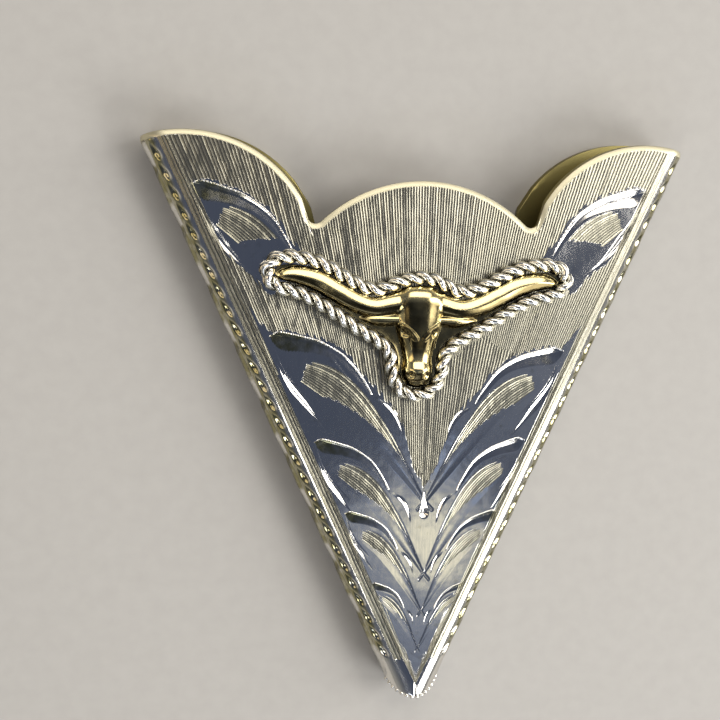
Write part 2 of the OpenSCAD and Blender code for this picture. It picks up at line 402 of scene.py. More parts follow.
WEDGE = [(2.0, -0.95), (3.2, -1.35), (4.6, -1.6), (6.0, -1.68), (7.6, -1.8), (9.6, -1.9)]
WEDGE_HALF = [0.02, 0.14, 0.25, 0.22, 0.09, 0.02]
END_WEDGE = [(1.3, -0.35), (2.6, -0.7), (4.2, -0.9), (5.7, -0.95), (7.2, -0.85), (8.7, -0.5)]
TAIL_CUT = [(10.2, 3.0), (11.2, 3.3), (12.4, 3.15), (13.8, 2.55)]
TAIL_CUT_HALF = [0.03, 0.2, 0.16, 0.03]
CONTOUR_HALF = [0.03, 0.08, 0.1, 0.08, 0.03]
leaf_length = 19.3
field_lines = 13
line_spacing_kept = 0.3
end_leaf_shift = (0.75, -0.2)
leaf_low, leaf_high = (-1.5, -3.2), (20.5, 5.0)
wedge_slope, wedge_deep, contour_deep, tail_slope, tail_deep = 0.4, 0.12, 0.05, 0.5, 0.1
field_sunk, field_from, tarnish_share, tarnish_reach = 0.03, 3.5, 1.25, 4.6
rim_end, crescent_end, end_leaf_end = 9.5, 8.2, 10.6
# A line's number says what it belongs to: the fan under 0, a fold from 200, a leaf from 500
no_line, fold_lines_from, leaf_lines_from = -1.0, 200, 500
far_off = 9.0

LEAVES = [
    # head x, head y, tail x, tail y, whether its long tail is there, width of its wedge, painted shade
    # in its head
    (-19.15, 19.45, -6.87, 4.55, False, 1.5, 0.9),
    (-12.85, 7.35, 0.4, -6.6, True, 1.0, 1.0),
    (-9.05, -1.45, 0.45, -12.9, True, 1.0, 1.0),
    (-6.4, -7.6, 0.3, -16.25, True, 1.0, 1.0),
    (-4.0, -13.8, 0.05, -19.6, True, 1.0, 1.0),
    (19.4, 19.75, 7.1, 4.85, False, 1.3, 0.0),
    (12.4, 6.1, 0.5, -6.6, True, 1.35, 0.35),
    (9.15, -1.55, 0.55, -12.9, True, 1.25, 0.2),
    (6.9, -7.8, 0.4, -16.25, True, 1.0, 0.6),
    (4.4, -14.05, 0.15, -19.6, True, 1.0, 0.6),
]
DROP = [(0.42, -5.9), (0.42, -6.6), (0.43, -7.3), (0.43, -7.75)]
DROP_HALF = [0.06, 0.18, 0.36, 0.4]
drop_slope, drop_deep = 0.5, 0.17
plain_by_cut, lined_to_fold = 0.1, 0.45


def leaf_frame(leaf):
    """The leaf's origin, its two directions, and its size beside the leaf that was drawn."""
    head, tail = np.array(leaf[:2]), np.array(leaf[2:4])
    length = np.linalg.norm(tail - head)
    x_way = (tail - head) / length
    side = 1.0 if leaf[0] < 0 else -1.0
    return head, x_way, side * np.array([-x_way[1], x_way[0]]), length / leaf_length


def leaf_points(leaf, points):
    """Points of the face in the leaf's own frame."""
    head, x_way, y_way, size = leaf_frame(leaf)
    away = points - head
    return np.stack([away @ x_way, away @ y_way], -1) / size


def along_curve(points, x):
    """Height at x of the smooth curve through points that run from left to right."""
    line = smooth_line(points)
    return np.interp(x, line[:, 0], line[:, 1])


def engrave_face(xy):
    """At each point: depth of the cuts, line number, distance inside a lined zone, distance
    from a leaf's raised rim, and share of painted shade in a tarnish tone."""
    slope = xy[:, 0] / np.maximum(xy[:, 1] - face_apex_y, 0.05)
    line = np.full(len(xy), no_line)
    depth, tarnish = np.zeros(len(xy)), np.zeros(len(xy))
    lined, rim = np.full(len(xy), far_off), np.full(len(xy), far_off)
    field = np.full(len(xy), -far_off)
    for leaf in LEAVES:
        whole, wedge_width, head_shade = leaf[4:]
        size = leaf_frame(leaf)[3]
        p = leaf_points(leaf, xy)
        px, py = p.T
        near = np.all((p > leaf_low) & (p < leaf_high), axis=1)
        q = p[near]
        outer, inner = smooth_line(CRESCENT_OUTER), smooth_line(CRESCENT_INNER)
        within = inside(q, np.concatenate([outer, inner[::-1]]))
        from_outer, _ = to_line(q, outer)
        from_inner, _ = to_line(q, inner)
        outer_slope, inner_slope = 0.32 + 0.1 * head_shade, 0.24 - 0.08 * head_shade
        cut = np.where(within, np.minimum(outer_slope * from_outer, inner_slope * from_inner), 0.0)
        wedge = WEDGE if whole else END_WEDGE
        wedge_half = [w * wedge_width for w in WEDGE_HALF]
        cut = np.maximum(cut, trough(q, wedge, wedge_half, wedge_slope, wedge_deep))
        if whole:
            cut = np.maximum(cut, trough(q, CONTOUR, CONTOUR_HALF, wedge_slope, contour_deep))
            cut = np.maximum(cut, trough(q, TAIL_CUT, TAIL_CUT_HALF, tail_slope, tail_deep))
        plain_x = q[:, 0]
        qx, qy = (q if whole else q + end_leaf_shift).T
        top, bottom = along_curve(FIELD_TOP, qx), along_curve(FIELD_BOTTOM, qx)
        across = (top - qy) / (top - bottom)
        # Lines keep about the same spacing on the smaller leaves, so there are fewer of them
        count = max(5, round(field_lines * (line_spacing_kept + (1 - line_spacing_kept) * size)))
        stepped = (np.floor(across * count) + 0.5) / count
        start = np.interp(stepped, *np.array(LINE_START).T)
        end = np.interp(stepped, *np.array(LINE_END).T)
        end = end if whole else np.minimum(end, 6.7 + 1.9 * (1 - stepped))
        within_field = np.minimum.reduce([
            qx - start, end - qx, top - qy, qy - bottom
        ]) * size
        hollow = np.sin(np.pi * np.clip(across, 0, 1))
        sunk = field_sunk * hollow * np.clip((qx - field_from) / 2, 0, 1)
        depth[near] = np.maximum(depth[near], size * np.maximum(cut, sunk))
        chosen = within_field > field[near]
        field[near] = np.where(chosen, within_field, field[near])
        numbered = leaf_lines_from + across * count
        # Painted shade in a tarnish tone in the head's crescent, heavier on the left leaves, fading
        # towards the tail
        olive_shade = head_shade * within * np.clip(tarnish_share - plain_x / tarnish_reach, 0, 1)
        tarnish[near] = np.maximum(tarnish[near], olive_shade)
        rim[near] = np.minimum(rim[near], np.where(plain_x < rim_end, from_outer, far_off) * size)
        line[near] = np.where(chosen & (within_field > -0.15), numbered, line[near])
        upper = np.where(
            px < crescent_end, along_curve(CRESCENT_OUTER, px),
            along_curve(FIELD_TOP, px)
            + np.interp(px, [crescent_end, 12.5, 16], [0.6, 0.9, 0.1]),
        )
        if not whole:
            lower = along_curve([(0, 0)] + END_WEDGE, px)
            enclosed = np.minimum.reduce([
                upper - py, py - lower, px + 0.05, end_leaf_end - px
            ])
            lined = np.minimum(lined, -enclosed)
        elif leaf[1] > 0:
            lined = np.minimum(lined, (py - np.where(px < 0, 0, upper)) * 0.85)
    lined -= plain_by_cut
    beside_fold = (half_angle - np.abs(np.arctan(slope))) * np.hypot(xy[:, 0], xy[:, 1] - face_apex_y)
    lined = np.maximum(lined, lined_to_fold - beside_fold)
    depth = np.maximum(depth, trough(xy, DROP, DROP_HALF, drop_slope, drop_deep))
    return depth, line, np.maximum(lined, field), rim, tarnish


# Fold: tear-shaped cuts in a row near the face, and long barbs round the outside.
first_tear, tear_pitch, tear_turn = 8.0, 1.7, 1.5
first_barb, barb_pitch, barb_turn = 6.6, 5.2, 2.85
TEAR_HALF, tear_slope, tear_deep = [0.03, 0.2, 0.32, 0.26], 0.7, 0.2
BARB_HALF, barb_slope, barb_deep = [0.03, 0.25, 0.5, 0.75, 0.85], 0.5, 0.4
fold_line_pitch, fold_lines_end, fold_lines_start = 0.3, 1.12, 7.0


def engrave_fold(turn_at, along):
    """The same five values on a fold, at each distance round it and along it."""
    points = np.stack([turn_at, along], -1)
    depth = np.zeros(len(points))
    last = lobe_along + side_lobe_r
    for start in np.arange(first_tear, last, tear_pitch):
        tear = [(tear_turn + 0.14, start + 1.35), (tear_turn, start + 0.6), (tear_turn - 0.14, start)]
        depth = np.maximum(depth, trough(points, tear, TEAR_HALF, tear_slope, tear_deep))
    for start in np.arange(first_barb, last, barb_pitch):
        barb = [
            (barb_turn - 0.75, start + 5.0), (barb_turn - 0.45, start + 3.2),
            (barb_turn - 0.1, start + 1.5), (barb_turn + 0.1, start)
        ]
        depth = np.maximum(depth, trough(points, barb, BARB_HALF, barb_slope, barb_deep))
    line = fold_lines_from + turn_at / fold_line_pitch
    past_start = (along - fold_lines_start) / 2
    lined = np.where(depth > 0.01, -1.0, np.minimum(fold_lines_end - turn_at, past_start))
    # Painted shade in a tarnish tone, for the dark surroundings mirrored round the fold, lies on the
    # band of tears
    #     and on the outer band with the barbs, but for the barbs' bright wide ends
    after_barb = (along - first_barb) % barb_pitch
    fold_shade = np.interp(turn_at, [1.1, 1.3, 2.0, 2.2], [0, 0.95, 0.95, 0])
    outer_fold_shade = np.interp(turn_at, [2.0, 2.2, 4.0, 4.6], [0, 1, 1, 0.1])
    barb_shade = np.interp(after_barb, [0, 0.3, 1.7, 2.3, 4.9, 5.2], [1, 0, 0, 1, 1, 1])
    fold_shade = np.maximum(fold_shade, outer_fold_shade * barb_shade) * np.clip(past_start, 0, 1)
    return depth, line, lined, np.full(len(points), far_off), fold_shade


# The corners of the sheet's grid: the outer skin, then the inner skin with fewer rows
def skin_columns(outside):
    """Start points and end points of every column of one skin, from flange to flange."""
    z_face = fold_h if outside else fold_h - sheet
    radius = fold_r if outside else fold_r - sheet
    z_back = 0.0 if outside else sheet
    angle = turns / fold_r
    inward = fold_r - radius * np.sin(angle)
    z = fold_r + radius * np.cos(angle)
    pocket_up = bottom_up + solid_point
    if outside:
        low = fold_start(inward)
    else:
        low = np.maximum((pocket_up - inward * sin_a) / cos_a, inward / tan_a)
    fold_ends = [side_point(inward, t, z) for t in (low, lobe_edge(inward, z))]
    flange = flange_columns(z_back)[1:]
    low = flange_start(flange)
    if not outside:
        low = np.maximum(low, (pocket_up - flange * sin_a) / cos_a)
    flange_ends = [side_point(flange, t, z_back) for t in (low, lobe_edge(flange, z_back))]
    right = [np.concatenate([a, b]) for a, b in zip(fold_ends, flange_ends)]
    length = face_edge(slopes, z_face)
    way = np.stack([slopes, np.ones_like(slopes), np.zeros_like(slopes)], -1)
    way /= np.linalg.norm(way, axis=1, keepdims=True)
    apex = np.array([0.0, face_apex_y, z_face])
    first = 0.0 if outside else (corner_y + pocket_up - face_apex_y) / way[:, 1]
    face = [apex + way * np.reshape(first, (-1, 1)), apex + way * length[:, None]]
    flip = np.array([-1.0, 1.0, 1.0])
    return [np.concatenate([(r * flip)[::-1], f[1:-1], r]) for r, f in zip(right, face)]


outer_start, outer_end = skin_columns(True)
inner_start, inner_end = skin_columns(False)
column_count = len(outer_start)
flange_count = len(flange_columns(0.0)) - 1
fold_count = len(turns)
face_first = flange_count + fold_count - 1
face_last = face_first + 2 * face_half_columns
inner_row_count = 9
inner_rows = np.linspace(0, 1, inner_row_count)
column_length = np.linalg.norm(outer_end - outer_start, axis=1)
row_length = rows[:, None] + last_share[:, None] * (column_length[None] - row_spans[-1][1])
on_flange = np.minimum(np.arange(column_count), np.arange(column_count)[::-1]) < flange_count
even_length = np.linspace(0, 1, len(rows))[:, None] * column_length
row_length = np.where(on_flange, even_length, row_length)
outer = outer_start[None] + (row_length / column_length)[..., None] * (outer_end - outer_start)[None]
inner = inner_start[None] + inner_rows[:, None, None] * (inner_end - inner_start)[None]

# Where each column lies round its fold, counted from the face, and which way is out there
column_turn = np.concatenate([
    np.full(flange_count, turn_all), turns[::-1], np.zeros(2 * face_half_columns - 1), turns,
    np.full(flange_count, turn_all)
])
column_side = np.sign(np.arange(column_count) - (column_count - 1) / 2)
column_angle = column_turn / fold_r
outward = np.stack([
    column_side * cos_a * np.sin(column_angle), -sin_a * np.sin(column_angle), np.cos(column_angle)
], -1)

depth, line_number, tarnish = (np.zeros(outer.shape[:2]) for _ in range(3))
lined, rim = np.full(outer.shape[:2], -far_off), np.full(outer.shape[:2], far_off)
face_columns = np.r_[face_first:face_last + 1]
on_flat_face = engrave_face(outer[:, face_columns, :2].reshape(-1, 2))
fold_columns = np.r_[flange_count:face_first, face_last + 1:column_count - flange_count]
fold_x = outer[:, fold_columns, 0] * column_side[fold_columns]
fold_along = fold_x * sin_a + (outer[:, fold_columns, 1] - corner_y) * cos_a
fold_turn = np.broadcast_to(column_turn[fold_columns], fold_along.shape)
on_folds = engrave_fold(fold_turn.ravel(), fold_along.ravel())
for columns, engraved in ((face_columns, on_flat_face), (fold_columns, on_folds)):
    for target, value in zip((depth, line_number, lined, rim, tarnish), engraved):
        target[:, columns] = value.reshape(len(rows), -1)

# The sheet's outer edge is burnished to a narrow bevel, and the point's rim is milled
bevel_w, bevel_drop, edge_reach = 0.42, 0.16, 2.5
rim_w, milling_pitch = 0.3, 0.42
edge_line = outer_end[flange_count:column_count - flange_count]
near_edge = np.linalg.norm(outer - outer_end[None], axis=2) < edge_reach
near_edge[:, :flange_count] = near_edge[:, column_count - flange_count:] = False
from_edge = np.full(outer.shape[:2], far_off)
from_edge[near_edge], _ = to_line(outer[near_edge], edge_line)
bevel = bevel_drop * np.clip(1 - from_edge / bevel_w, 0, 1) ** 1.5
lined = np.where(from_edge < bevel_w, -far_off, lined)
point_rim = np.clip(1 - np.linalg.norm(outer - outer_start[None], axis=2) / rim_w, 0, 1)
by_point = outer_start[:, 1] < face_apex_y - 0.3
on_rim = by_point & (column_turn > 0) & (column_turn <= turn_all / 2)
milling = 0.05 + 0.05 * np.cos(2 * np.pi * outer_start[:, 0] / milling_pitch)
rim_drop = point_rim**1.5 * np.where(on_rim, milling, 0.0)[None]
displaced = outer - outward[None] * (np.where(bevel > 0, bevel, depth) + rim_drop)[..., None]

# All the sheet's faces, by number: skin, edges, pocket's end and rounded point
points = []


def grid_faces(index, flip=False):
    """Four-cornered faces between the rows and columns of a grid of point numbers."""
    a, b, c, d = index[:-1, :-1], index[:-1, 1:], index[1:, 1:], index[1:, :-1]
    quads = np.stack([a, d, c, b] if flip else [a, b, c, d], -1)
    return quads.reshape(-1, 4)


def add_points(more):
    """Adds points to the sheet and gives their numbers, in the shape of their array."""
    first = sum(len(group) for group in points)
    points.append(more.reshape(-1, 3))
    return first + np.arange(len(points[-1])).reshape(more.shape[:-1])


def wall(first, last, shares):
    """Point numbers of a wall between two lines of points, with rows at the given shares."""
    all_points = np.concatenate(points)
    a, b = all_points[first], all_points[last]
    between = np.stack([a + s * (b - a) for s in shares])
    return np.concatenate([first[None], add_points(between), last[None]])


outer_index, inner_index = add_points(displaced), add_points(inner)
face_middle = (column_count - 1) // 2
left_faces = grid_faces(outer_index[:, face_first:face_middle + 1])
right_faces = grid_faces(outer_index[:, face_middle:face_last + 1])
side_faces = [grid_faces(outer_index[:, :face_first + 1]), grid_faces(outer_index[:, face_last:])]
edge_shares, gap_shares, tip_rows = (0.12, 0.5, 0.88), (0.12, 0.88), 16
edge_wall = wall(outer_index[-1], inner_index[-1], edge_shares)
lining_faces = [grid_faces(inner_index, flip=True), grid_faces(edge_wall)]
gap_columns = 6
gap_end = flange_count - gap_columns
for part, flip in (
    (slice(0, gap_end + 1), True), (slice(column_count - 1, column_count - gap_end - 2, -1), False)
):
    gap_wall = wall(outer_index[0, part], inner_index[0, part], gap_shares)
    lining_faces.append(grid_faces(gap_wall, flip=flip))
pocket_ring = inner_index[0, gap_end:column_count - gap_end]
pocket_middle = add_points(np.array([[0.0, corner_y + bottom_up + solid_point, fold_r]]))[0]
pocket_faces = np.stack([
    pocket_ring, np.roll(pocket_ring, -1), np.full_like(pocket_ring, pocket_middle)
], -1)
half_turns = fold_count // 2
tip_first = end_turn_count - 1
for base, step, flip in ((face_last, 1, False), (face_first, -1, True)):
    upper = outer_index[0, base + step * np.arange(tip_first, half_turns + 1)]
    lower = outer_index[0, base + step * np.arange(fold_count - 1 - tip_first, half_turns - 1, -1)]
    tip_wall = wall(upper, lower, np.linspace(0, 1, tip_rows)[1:-1])
    side_faces.append(grid_faces(tip_wall, flip=not flip))

all_points = np.concatenate(points)
point_count = len(all_points)


def vertex_normals(quads, triangles):
    """Smooth normals of the whole sheet, so that pieces that meet shade as one."""
    total = np.zeros_like(all_points)
    for faces, end, start in ((quads, 3, 1), (triangles, 2, 0)):
        corners = all_points[faces]
        way = np.cross(corners[:, end - 1] - corners[:, 0], corners[:, end] - corners[:, start])
        for k in range(end + 1):
            np.add.at(total, faces[:, k], way)
    length = np.linalg.norm(total, axis=1, keepdims=True)
    return np.where(length > 0, total / np.maximum(length, 1e-12), (0, 0, 1))


every_quad = np.concatenate([left_faces, right_faces] + side_faces + lining_faces)
normals = vertex_normals(every_quad, pocket_faces)
attributes = {
    "line_number": line_number, "lined": lined, "rim": rim, "edge": -from_edge, "tarnish": tarnish
}


def make_piece(name, groups, materials):
    """A mesh piece from groups of faces, one material each, with the sheet's attributes."""
    used = np.unique(np.concatenate([np.ravel(group) for group in groups]))
    number = np.full(point_count, -1)
    number[used] = np.arange(len(used))
    faces = [face for group in groups for face in number[group].tolist()]
    mesh = bpy.data.meshes.new(name)
    mesh.from_pydata((all_points[used] * MM).tolist(), [], faces)
    for key, values in attributes.items():
        flat = np.concatenate([values.ravel(), np.full(point_count - values.size, -far_off)])
        layer = mesh.attributes.new(key, "FLOAT", "POINT")
        layer.data.foreach_set("value", flat[used].astype(np.float32))
    for material in materials:
        mesh.materials.append(material)
    owners = np.repeat(np.arange(len(groups)), [len(group) for group in groups])
    mesh.polygons.foreach_set("material_index", owners)
    mesh.shade_smooth()
    mesh.normals_split_custom_set_from_vertices(normals[used].tolist())
    return put_in(name, mesh)


# Bright-cut silver plate: polished flat, with hand-cut lines whose walls scatter the light to
# cream, brown tarnish in the cuts, painted olive shade in the leaves' heads and round the folds,
# shallow dents, and fine wear scratches.
silver_plate, tree, shader = new_material("bright_cut_silver_plate", {"Metallic": 1.0})
number, zone, rim_far, edge_far, olive_shade = (
    add(tree, "Attribute", attribute_name=name).outputs["Fac"]
    for name in ("line_number", "lined", "rim", "edge", "tarnish")
)
place = add(tree, "TexCoord").outputs["Object"]
wobble = add(tree, "TexNoise", {"Vector": place, "Scale": 260.0, "Detail": 2.0})
spot = add(tree, "VectorMath", {0: place, 1: (0, face_apex_y * MM, 0)}, operation="SUBTRACT")
parts = add(tree, "SeparateXYZ", {0: spot})
bearing = add(tree, "Math", {0: parts.outputs["X"], 1: parts.outputs["Y"]}, operation="ARCTAN2")
radius = add(tree, "VectorMath", {0: spot}, operation="LENGTH")
# Lines are added between the others where the fan has spread, at about these distances
ragged_radius = add(tree, "Math", {
    0: wobble, 1: 0.006, 2: radius.outputs["Value"],
}, operation="MULTIPLY_ADD")
line_density = 0.0
for far, lines in ((0.0, 76.0), (22 * MM, 42.0), (33 * MM, 62.0)):
    beyond = add(tree, "Math", {0: ragged_radius, 1: far}, operation="GREATER_THAN")
    line_density = add(tree, "Math", {0: beyond, 1: lines, 2: line_density}, operation="MULTIPLY_ADD")
fan_number = add(tree, "Math", {0: bearing, 1: line_density}, operation="MULTIPLY")
own_number = add(tree, "Math", {0: number, 1: 0.0}, operation="GREATER_THAN")
either = add(tree, "Mix", {0: own_number, 2: fan_number, 3: number})
fine_wobble = add(tree, "TexNoise", {"Vector": place, "Scale": 1400.0, "Detail": 2.0})
waver = add(tree, "Math", {0: wobble, 1: 0.9, 2: fine_wobble}, operation="MULTIPLY_ADD")
waver = add(tree, "Math", {0: waver, 1: 0.32}, operation="MULTIPLY")
wavy_number = add(tree, "Math", {0: either, 1: waver}, operation="ADD")
stroke = add(tree, "Math", {0: wavy_number}, operation="FLOOR")
chance = add(tree, "TexWhiteNoise", {"W": stroke}, noise_dimensions="1D")
ragged = add(tree, "Math", {0: chance, 1: -0.3, 2: zone}, operation="MULTIPLY_ADD")
shown = add(tree, "MapRange", {0: ragged, 1: 0.0, 2: 0.06}, interpolation_type="SMOOTHSTEP")
to_middle = add(tree, "Math", {0: wavy_number, 1: 0.5}, operation="PINGPONG")
groove = add(tree, "MapRange", {0: to_middle, 1: 0.08, 2: 0.46}, interpolation_type="SMOOTHSTEP")
vigour = add(tree, "MapRange", {0: chance, 3: 1.0, 4: 0.35})
chatter_way = add(tree, "Mapping", {"Vector": place, "Scale": (1.0, 0.25, 1.0)})
chatter = add(tree, "TexNoise", {"Vector": chatter_way, "Scale": 2200.0, "Detail": 3.0})
pressure = add(tree, "MapRange", {0: chatter, 1: 0.3, 2: 0.65, 3: 0.45, 4: 1.0})
line_cut = groove
for weakened in (vigour, pressure, shown):
    line_cut = add(tree, "Math", {0: line_cut, 1: weakened}, operation="MULTIPLY")
burr = add(tree, "MapRange", {0: rim_far, 1: 0.07, 2: 0.01}, interpolation_type="SMOOTHSTEP")
scratch_way = add(tree, "Mapping", {
    "Vector": place, "Rotation": (0, 0, 0.5), "Scale": (1.0, 0.06, 1.0),
})
scratches = add(tree, "TexNoise", {"Vector": scratch_way, "Scale": 9000.0, "Detail": 3.0})
dents = add(tree, "TexNoise", {"Vector": place, "Scale": 260.0, "Detail": 3.0})
surface = 0.0
for mark, high in ((line_cut, -0.024), (burr, 0.03), (dents, 0.038), (scratches, 0.0006)):
    surface = add(tree, "Math", {0: mark, 1: high, 2: surface}, operation="MULTIPLY_ADD")
relief = add(tree, "Bump", {"Height": surface, "Distance": MM, "Strength": 1.0})
stain = add(tree, "TexNoise", {"Vector": place, "Scale": 120.0, "Detail": 5.0})
stained = add(tree, "MapRange", {0: stain, 1: 0.3, 2: 0.7})
cut_tone = add(tree, "Mix", {0: stained, 6: "#B1AD9F", 7: "#8E8975"}, data_type="RGBA")
in_leaf = add(tree, "Math", {0: number, 1: leaf_lines_from - 100}, operation="GREATER_THAN")
leaf_tone = add(tree, "Mix", {0: in_leaf, 6: cut_tone.outputs[2], 7: "#DAD5BC"}, data_type="RGBA")
land_tone = add(tree, "Mix", {0: shown, 6: "#E4E1DA", 7: "#928E7E"}, data_type="RGBA")
tone = add(tree, "Mix", {
    0: line_cut, 6: land_tone.outputs[2], 7: leaf_tone.outputs[2],
}, data_type="RGBA")
rough_edge = add(tree, "Math", {0: fine_wobble, 1: 0.12, 2: edge_far}, operation="MULTIPLY_ADD")
filed = add(tree, "MapRange", {0: rough_edge, 1: -bevel_w, 2: -bevel_w + 0.06})
# Painted shade: a speckled olive tarnish tone where the leaves' heads and the folds' bands are to look
# dark
speckled_shade = add(tree, "Math", {0: fine_wobble, 1: 1.3, 2: olive_shade}, operation="MULTIPLY_ADD")
tarnished = add(tree, "MapRange", {0: speckled_shade, 1: 0.8, 2: 1.7})
for share, tint in ((tarnished, "#98936F"), (filed, "#D2CBAF")):
    tone = add(tree, "Mix", {0: share, 6: tone.outputs[2], 7: tint}, data_type="RGBA")
land_gloss = add(tree, "Math", {0: shown, 1: 0.65, 2: line_cut}, operation="MULTIPLY_ADD")
matt = add(tree, "Math", {0: land_gloss, 1: burr}, operation="MAXIMUM")
most_matt = add(tree, "Math", {0: filed, 1: 1.6, 2: matt}, operation="MULTIPLY_ADD")
gloss = add(tree, "MapRange", {0: most_matt, 2: 2.0, 3: 0.085, 4: 0.5})
gloss_wear = add(tree, "Math", {0: scratches, 1: 0.08, 2: gloss}, operation="MULTIPLY_ADD")
feed(shader, {"Base Color": tone.outputs[2], "Roughness": gloss_wear, "Normal": relief})

# Bare brass of the same sheet inside and at its sawn edges, dull and olive with age
bare_brass, tree, shader = new_material("aged_brass_lining", {"Metallic": 1.0})
place = add(tree, "TexCoord").outputs["Object"]
patina = add(tree, "TexNoise", {"Vector": place, "Scale": 220.0, "Detail": 6.0})
tone = add(tree, "Mix", {0: patina, 6: "#A79A63", 7: "#7C7448"}, data_type="RGBA")
dullness = add(tree, "MapRange", {0: patina, 3: 0.28, 4: 0.48})
feed(shader, {"Base Color": tone.outputs[2], "Roughness": dullness})

left_face = make_piece("left_face", [left_faces], [silver_plate])
right_face = make_piece("right_face", [right_faces], [silver_plate])
shell_folds = make_piece(
    "shell_folds", [np.concatenate(side_faces), np.concatenate(lining_faces), pocket_faces],
    [silver_plate, bare_brass, bare_brass],
)
for piece in (left_face, right_face, shell_folds):
    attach(piece, "root")
    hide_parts("shell")

# Point: a row of fine milled beads round its end, each a pressed bump of the same sheet. A
# geometry tree sets one bead at every even step of the arc.
bead_r, bead_pitch, bead_below, bead_arc = 0.2, 0.44, 0.12, math.radians(110)
arc_steps = 40
bead_turns = np.linspace(-bead_arc / 2, bead_arc / 2, arc_steps)
from_side = point_r * (1 - np.sin(np.abs(bead_turns) + half_angle))
bead_points = np.stack([
    point_r * np.sin(bead_turns), corner_y + point_up - point_r * np.cos(bead_turns),
    fold_r + np.sqrt(fold_r**2 - (fold_r - from_side) ** 2) - bead_below
], -1)


def thread(name, points, closed=False):
    """An object of one line through points in millimetres, for a geometry tree to dress."""
    count = len(points)
    edges = [(i, (i + 1) % count) for i in range(count if closed else count - 1)]
    mesh = bpy.data.meshes.new(name)
    mesh.from_pydata((points * MM).tolist(), edges, [])
    return put_in(name, mesh)


def tree_with(name, sockets):
    """A geometry tree with a geometry input and output and the named inputs."""
    made = bpy.data.node_groups.new(name, "GeometryNodeTree")
    made.interface.new_socket("Geometry", in_out="INPUT", socket_type="NodeSocketGeometry")
    for label, kind in sockets:
        made.interface.new_socket(label, in_out="INPUT", socket_type="NodeSocket" + kind)
    made.interface.new_socket("Geometry", in_out="OUTPUT", socket_type="NodeSocketGeometry")
    return made, add(made, "NodeGroupInput").outputs


def grown(source, made, settings, name):
    """The mesh piece that a geometry tree makes of a source object, with the tree's inputs set."""
    modifier = source.modifiers.new(name, "NODES")
    modifier.node_group = made
    for item in made.interface.items_tree:
        if item.in_out == "INPUT" and item.name in settings:
            modifier[item.identifier] = settings[item.name]
    evaluated = source.evaluated_get(bpy.context.evaluated_depsgraph_get())
    mesh = bpy.data.meshes.new_from_object(evaluated)
    mesh.shade_smooth()
    bpy.data.objects.remove(source)
    return put_in(name, mesh)


beading, given = tree_with("milled_beads", (
    ("Spacing", "Float"), ("Bead radius", "Float"), ("Material", "Material"),
))
line = add(beading, "GeometryNodeMeshToCurve", {"Mesh": given["Geometry"]})
spots = add(beading, "GeometryNodeCurveToPoints", {
    "Curve": line, "Length": given["Spacing"],
}, mode="LENGTH")
bead = add(beading, "GeometryNodeMeshIcoSphere", {"Radius": given["Bead radius"], "Subdivisions": 3})
set_on = add(beading, "GeometryNodeInstanceOnPoints", {"Points": spots, "Instance": bead})
realized = add(beading, "GeometryNodeRealizeInstances", {0: set_on})
coated = add(beading, "GeometryNodeSetMaterial", {"Geometry": realized, "Material": given["Material"]})
add(beading, "NodeGroupOutput", {0: coated})
bead_silver, tree, shader = new_material("bright_bead_silver", {
    "Metallic": 1.0, "Base Color": "#E6E3DA", "Roughness": 0.2,
})
point_beads = grown(thread("bead_arc", bead_points), beading, {
    "Spacing": bead_pitch * MM, "Bead radius": bead_r * MM, "Material": bead_silver,
}, "point_beads")
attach(point_beads, "root")
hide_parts("shell")

# Rope border: two round strands of bright silver wire twisted round each other, laid in a
# closed line round the steer's head. A geometry tree twists the line and gives it its thickness.
head_place, head_turn = (-0.5, 10.6), math.radians(-1.1)
lift = 0.02
seat = fold_h + lift
rope_half, strand_half, strand_out = 0.58, 0.28, 0.32
rope_turns, rings_per_turn, strand_sides = 27, 18, 12
ROPE_LINE = [
    (0, 1.7), (1.5, 1.45), (3.6, 0.6), (5.6, 1.2), (8, 2.5), (10.2, 3.05), (12, 2.8), (12.65, 1.75),
    (11.9, 0.65), (10, 0.15), (8, -0.8), (5.5, -2.4), (3.1, -3.8), (2.3, -4.8), (2.1, -6.2),
    (1.4, -7.6), (0, -8.1)
]
mirrored = [(-x, y) for x, y in ROPE_LINE[-2:0:-1]]
ring = ROPE_LINE + mirrored
ring = smooth_line(ring[-2:] + ring + ring[:2])[2 * curve_steps:-2 * curve_steps - 1]


def on_face(points):
    """Points of the steer's head, in its own frame, put in place on the face."""
    cosine, sine = math.cos(head_turn), math.sin(head_turn)
    flat = points[:, :2] @ np.array([[cosine, sine], [-sine, cosine]]) + head_place
    return np.column_stack([flat, seat + points[:, 2]])


silver_wire, tree, shader = new_material("bright_silver_wire", {"Metallic": 1.0, "Roughness": 0.22})
place = add(tree, "TexCoord").outputs["Object"]
parts = add(tree, "SeparateXYZ", {0: place})
patchy = add(tree, "TexNoise", {"Vector": place, "Scale": 1200.0, "Detail": 3.0})
# Painted shade and highlight: the strands are dark olive grey low down, between them and against the
# plate, and near white on their tops
patched = add(tree, "Math", {0: patchy, 1: 0.3 * MM, 2: parts.outputs["Z"]}, operation="MULTIPLY_ADD")
dark_below, bright_above = (seat + 0.62) * MM, (seat + 0.98) * MM
painted_light_by_height = add(tree, "MapRange", {
    0: patched, 1: dark_below, 2: bright_above,
}, interpolation_type="SMOOTHSTEP")
tone = add(tree, "Mix", {0: painted_light_by_height, 6: "#6A6553", 7: "#F4F1E6"}, data_type="RGBA")
feed(shader, {"Base Color": tone.outputs[2]})

